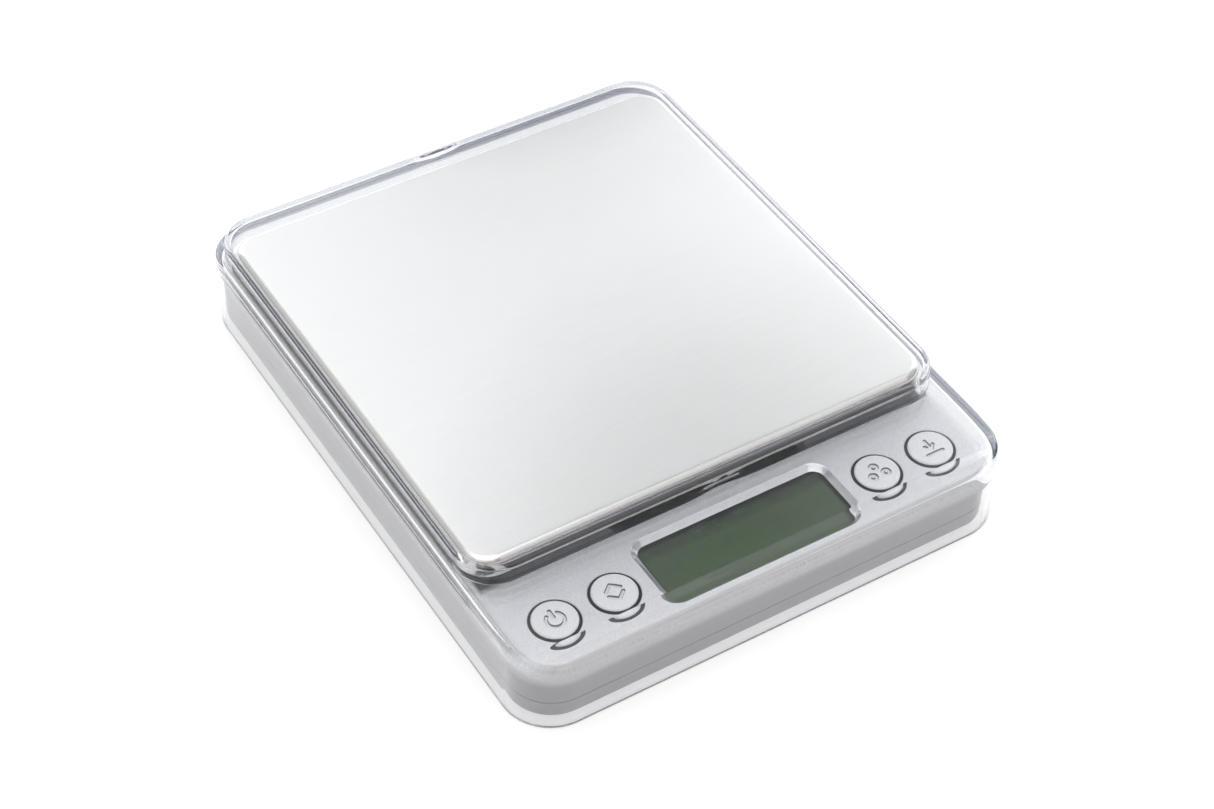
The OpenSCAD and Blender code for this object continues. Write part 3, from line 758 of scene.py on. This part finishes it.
def arc_dist(px, py, r, a0, a1, cx=0.0, cy=0.0):
    """Distance to the part of a circle from angle a0 to a1, in degrees."""
    x, y = px - cx, py - cy
    a = math.degrees(math.atan2(y, x)) % 360
    lo, hi = a0 % 360, a1 % 360
    inside = lo <= a <= hi if lo <= hi else (a >= lo or a <= hi)
    if inside:
        return abs(math.hypot(x, y) - r)
    return min(math.hypot(x - r * math.cos(math.radians(k)), y - r * math.sin(math.radians(k))) for k in (a0, a1))


def glyph(kind, x, y):
    """Distance from a point on the cap to the strokes of its pictogram."""
    if kind == "power":
        return min(arc_dist(x, y, 1.45, 130, 410, 0, -0.15), seg_dist(x, y, 0, 0.35, 0, 1.75))
    if kind == "mode":      # up and down arrowheads: step through the units
        return min(seg_dist(x, y, -1.3, 0.45, 0, 1.55), seg_dist(x, y, 1.3, 0.45, 0, 1.55),
                   seg_dist(x, y, -1.3, -0.45, 0, -1.55), seg_dist(x, y, 1.3, -0.45, 0, -1.55))
    if kind == "count":     # three pieces
        return min(abs(math.hypot(x - cx, y - cy) - 0.55) for cx, cy in ((-1.25, -0.7), (1.25, -0.7), (0, 1.05)))
    return min(seg_dist(x, y, -1.5, -1.35, 1.5, -1.35), seg_dist(x, y, 0, 1.6, 0, -0.35),
               seg_dist(x, y, -0.8, 0.45, 0, -0.45), seg_dist(x, y, 0.8, 0.45, 0, -0.45))   # tare: down to the zero line


def build_key(kind, x0):
    """Cap with a softly crowned top, a rounded rim and an engraved pictogram."""
    R, ztop, e = 4.3, 13.6, 0.35
    bm = bmesh.new()
    rings = []
    seg = 160
    radii = [R - e - 0.02 * 0]
    r = R - e
    while r > 0.05:
        r -= 0.05
        if r > 0.02:
            radii.append(r)

    def top(px, py):
        rr = math.hypot(px, py)
        crown = -0.05 * (rr / R) ** 2
        d = glyph(kind, px / 1.15, py / 1.15) * 1.15
        w = 0.31
        g = max(0.0, min(1.0, (w - d) / 0.12 + 0.5))
        g = g * g * (3 - 2 * g)
        return ztop + crown - 0.34 * g

    # side, rim, then the crowned top in closing rings
    prof = [(R, 11.3), (R, 12.2), (R, ztop - e - 0.05)]
    for i in range(1, 6):
        t = math.radians(90 * i / 6)
        prof.append((R - e + e * math.cos(t), ztop - e - 0.05 + e * math.sin(t)))
    for rr, z in prof:
        rings.append([bm.verts.new((rr * math.cos(2 * math.pi * k / seg), rr * math.sin(2 * math.pi * k / seg), z)) for k in range(seg)])
    for rr in radii:
        ring = []
        for k in range(seg):
            px, py = rr * math.cos(2 * math.pi * k / seg), rr * math.sin(2 * math.pi * k / seg)
            ring.append(bm.verts.new((px, py, top(px, py))))
        rings.append(ring)
    for a, b in zip(rings, rings[1:]):
        for k in range(seg):
            bm.faces.new((a[k], a[(k + 1) % seg], b[(k + 1) % seg], b[k]))
    c = bm.verts.new((0, 0, top(0, 0)))
    last = rings[-1]
    for k in range(seg):
        bm.faces.new((last[k], last[(k + 1) % seg], c))
    # flange and stem below
    low = []
    for rr, z in ((5.25, 11.3), (5.25, 10.8), (1.5, 10.8), (1.5, 10.5)):
        low.append([bm.verts.new((rr * math.cos(2 * math.pi * k / seg), rr * math.sin(2 * math.pi * k / seg), z)) for k in range(seg)])
    allr = [rings[0]] + low
    for a, b in zip(allr, allr[1:]):
        for k in range(seg):
            bm.faces.new((a[(k + 1) % seg], a[k], b[k], b[(k + 1) % seg]))
    bm.faces.new(list(reversed(low[-1])))
    bmesh.ops.translate(bm, vec=(x0, -KEY_Y, 0), verts=bm.verts)
    ob = new_object(kind + "_key_cap", bm, kind + "_key", (kind + "_button",), 55)
    apply_material(ob, M_KEY)
    ob.data.materials.append(M_SHADE)
    ob.data.materials.append(M_STROKE)
    for p in ob.data.polygons:
        # painted shade: the cap's side below 13 mm gets the near-black material so the gap round the key reads dark,
        # and the steep walls of the engraved pictogram get a darker grey
        if p.center.z < 0.0130:
            p.material_index = 1
        elif p.normal.z < 0.75 and math.hypot(p.center.x - x0 * MM, p.center.y + KEY_Y * MM) < 0.0036:
            p.material_index = 2
    return ob


for kind, x in KEYS.items():
    build_key(kind, x)

# ---------------------------------------------------------------- display
def build_lcd():
    """Two ground glass plates, the front one shorter so that the contact ledge shows."""
    bm = bmesh.new()
    for (x0, y0, z0), (x1, y1, z1) in (((-22.2, -61.6, 8.9), (22.2, -43.8, 9.98)), ((-22.2, -60.0, 10.0), (22.2, -43.8, 11.1))):
        w, l, yc = x1 - x0, y1 - y0, (y0 + y1) / 2
        c = 0.12
        loft(bm, [rr_loop(w - 2 * c, l - 2 * c, 0.3, z0, yc, 3), rr_loop(w, l, 0.4, z0 + c, yc, 3),
                  rr_loop(w, l, 0.4, z1 - c, yc, 3), rr_loop(w - 2 * c, l - 2 * c, 0.3, z1, yc, 3)], True, True)
    ob = new_object("lcd_plates", bm, "case", ("lcd_glass",), 25)
    apply_material(ob, M_LCD)
    return ob


build_lcd()

# ---------------------------------------------------------------- carried-over CAD nodes
CAD = {
    "lower_case": M_SILVER, "battery_door": M_SILVER, "platform_tape": M_FOAM, "platform_carrier": M_DARK,
    "carrier_screws": M_SCREW, "load_cell": M_ALU, "load_cell_screws": M_SCREW, "strain_gauges": M_GAUGE,
    "overload_stop": M_SCREW, "cell_leads": M_RED, "main_pcb": M_BOARD, "chip_blob": M_EPOXY, "smd_parts": M_EPOXY,
    "lcd_lens": M_WINDOW, "lcd_backlight": M_WHITE, "lcd_holder": M_WHITE, "zebra_strip": M_ELAST,
    "power_plunger": M_BLACK, "mode_plunger": M_BLACK, "count_plunger": M_BLACK, "tare_plunger": M_BLACK,
    "switch_bodies": M_BLACK, "pcb_screws": M_SCREW, "case_screws": M_SCREW, "rubber_feet": M_RUBBER,
    "batteries": M_JACKET, "battery_springs": M_NICKEL, "battery_contacts": M_NICKEL, "battery_leads": M_RED,
}
for name, mat in CAD.items():
    ob = nodes[name]
    apply_material(ob, mat)
    if name not in ("lcd_lens",):
        w = ob.modifiers.new("weld", "WELD")
        w.merge_threshold = 0.000002
        b = ob.modifiers.new("edge", "BEVEL")
        b.width = 0.00012
        b.segments = 2
        b.limit_method = "ANGLE"
        b.angle_limit = math.radians(40)
        b.harden_normals = True
        weighted(ob)

# ---------------------------------------------------------------- stage, lights, camera
def build_floor():
    bm = bmesh.new()
    bmesh.ops.create_grid(bm, x_segments=4, y_segments=4, size=3.0)
    me = bpy.data.meshes.new("studio_floor")
    bm.to_mesh(me)
    bm.free()
    ob = bpy.data.objects.new("studio_floor", me)
    bpy.context.scene.collection.objects.link(ob)
    ob.location = (0, 0, -0.00002)
    me.materials.append(floor_material())


build_floor()

scene = bpy.context.scene
world = bpy.data.worlds.new("studio")
scene.world = world
world.use_nodes = True
wnt = world.node_tree
wnt.nodes.clear()


def wnode(kind, **kw):
    n = wnt.nodes.new("ShaderNode" + kind)
    for k, v in kw.items():
        setattr(n, k, v)
    return n


def wramp(fac, stops):
    """Grey or coloured ramp over a direction's component."""
    n = wnode("ValToRGB")
    els = n.color_ramp.elements
    while len(els) < len(stops):
        els.new(0.5)
    for e, (p, c) in zip(els, stops):
        e.position = p
        e.color = (*c, 1) if isinstance(c, tuple) else (c, c, c, 1)
    wnt.links.new(fac, n.inputs[0])
    return n.outputs[0]


def wdot(axis):
    n = wnode("VectorMath", operation="DOT_PRODUCT")
    wnt.links.new(wtc.outputs["Generated"], n.inputs[0])
    n.inputs[1].default_value = axis
    return n.outputs["Value"]


def wmix(fac, a, b):
    n = wnode("Mix", data_type="RGBA")
    for s, v in ((n.inputs[0], fac), (n.inputs[6], a), (n.inputs[7], b)):
        wnt.links.new(v, s)
    return n.outputs[2]


wo = wnode("OutputWorld")
bg = wnode("Background")
wtc = wnode("TexCoord")
up_z = wdot((0, 0, 1))
# a bright sweep behind the scale, a gap above it, a ceiling panel, and an unlit room on the camera's side
back_half = wramp(up_z, [(0.0, 0.50), (0.25, 0.66), (0.50, 0.78), (0.62, 0.72), (0.69, 0.67), (0.73, 0.71), (0.80, 0.66), (0.9, 0.63), (1.0, 0.60)])
side_half = wramp(up_z, [(0.0, (0.075, 0.060, 0.050)), (0.28, (0.09, 0.074, 0.062)), (0.40, 0.22), (0.60, 0.22), (0.74, 0.26), (0.84, 0.46), (1.0, 0.60)])
front_half = wramp(up_z, [(0.0, (0.10, 0.082, 0.066)), (0.42, (0.11, 0.09, 0.074)), (0.66, (0.22, 0.20, 0.185)), (0.82, 0.48), (1.0, 0.58)])
toward_back = wramp(wdot((0.56, 0.83, 0.0)), [(0.42, 0.0), (0.60, 1.0)])
toward_front = wramp(wdot((-0.30, -0.954, 0.0)), [(0.10, 0.0), (0.42, 1.0)])
studio = wmix(toward_front, wmix(toward_back, side_half, back_half), front_half)
# a black flag where the window would mirror the sweep
flag = wramp(wdot((0.403, 0.534, 0.743)), [(0.9950, 0.0), (0.9985, 1.0)])
low_flag = wramp(wdot((0.411, 0.735, 0.54)), [(0.9915, 0.0), (0.9965, 1.0)])
side_flag = wramp(wdot((0.06, 0.645, 0.762)), [(0.990, 0.0), (0.9965, 1.0)])
n = wnode("RGB")
n.outputs[0].default_value = (0.05, 0.05, 0.055, 1)
grey = wnode("RGB")
grey.outputs[0].default_value = (0.15, 0.15, 0.15, 1)
studio = wmix(side_flag, studio, grey.outputs[0])
# the back wall falls off toward the left
fall = wramp(wdot((0.24, 0.69, 0.683)), [(0.965, 0.0), (0.9975, 1.0)])
dim = wnode("RGB")
dim.outputs[0].default_value = (0.58, 0.58, 0.58, 1)
studio = wmix(fall, studio, dim.outputs[0])
studio = wmix(low_flag, wmix(flag, studio, n.outputs[0]), n.outputs[0])
# a narrow run of dark and bright cards overhead, from behind the scale to the camera's side
run = wnode("Math", operation="ARCTAN2")
wnt.links.new(up_z, run.inputs[0])
wnt.links.new(wdot((0, 1, 0)), run.inputs[1])
turn = wnode("Math", operation="DIVIDE")
wnt.links.new(run.outputs[0], turn.inputs[0])
turn.inputs[1].default_value = math.pi
cards = wramp(turn.outputs[0], [(0.31, 0.12), (0.36, 0.13), (0.44, 0.21), (0.50, 0.34), (0.53, 0.42), (0.80, 0.42), (0.86, 0.30),
                                (0.92, (0.20, 0.175, 0.155)), (0.96, (0.12, 0.10, 0.085)), (1.0, (0.10, 0.085, 0.07))])
along = wramp(turn.outputs[0], [(0.27, 0.0), (0.33, 1.0), (1.0, 1.0)])
across = wramp(wdot((1, 0, 0)), [(0.26, 0.0), (0.34, 1.0), (0.47, 1.0), (0.55, 0.0)])
both = wnode("Math", operation="MULTIPLY")
wnt.links.new(along, both.inputs[0])
wnt.links.new(across, both.inputs[1])
studio = wmix(both.outputs[0], studio, cards)
wnt.links.new(studio, bg.inputs[0])
bg.inputs[1].default_value = 2.6
wnt.links.new(bg.outputs[0], wo.inputs[0])


def area(name, loc, target, size, power, color=(1, 1, 1)):
    ld = bpy.data.lights.new(name, "AREA")
    ld.shape = "RECTANGLE"
    ld.size, ld.size_y = size
    ld.energy = power
    ld.color = color
    ob = bpy.data.objects.new(name, ld)
    scene.collection.objects.link(ob)
    ob.location = loc
    d = Vector(target) - Vector(loc)
    ob.rotation_euler = d.to_track_quat("-Z", "Y").to_euler()
    return ob


area("softbox_left", (-1.1, -0.1, 0.7), (0, 0, 0), (0.8, 0.8), 0.4)
area("softbox_front", (-0.35, -0.55, 1.25), (0, 0, 0), (1.6, 1.6), 3.4)

cd = bpy.data.cameras.new("camera")
cam = bpy.data.objects.new("camera", cd)
scene.collection.objects.link(cam)
AZ, EL, DIST, FOCAL, TX, TY, ROLL = -32.935, 45.229, 476.33, 2472.192, -3.003, -9.818, 1.824
a, e = math.radians(AZ), math.radians(EL)
backv = Vector((math.sin(a) * math.cos(e), -math.cos(a) * math.cos(e), math.sin(e)))
pos = Vector((TX, TY, 10.0)) + backv * DIST
fwd = -backv
right = fwd.cross(Vector((0, 0, 1))).normalized()
up = right.cross(fwd)
r = math.radians(ROLL)
right2 = right * math.cos(r) + up * math.sin(r)
up2 = -right * math.sin(r) + up * math.cos(r)
cam.matrix_world = Matrix(((right2.x, up2.x, backv.x, pos.x * MM), (right2.y, up2.y, backv.y, pos.y * MM),
                           (right2.z, up2.z, backv.z, pos.z * MM), (0, 0, 0, 1)))
cd.sensor_width = 36.0
cd.lens = FOCAL / 1214 * 36.0
cd.clip_start, cd.clip_end = 0.01, 20.0
scene.camera = cam
# deep clear walls need long light paths
scene.cycles.max_bounces = 32
scene.cycles.glossy_bounces = 24
scene.cycles.transmission_bounces = 32
scene.view_settings.view_transform = "Standard"
scene.view_settings.look = "None"
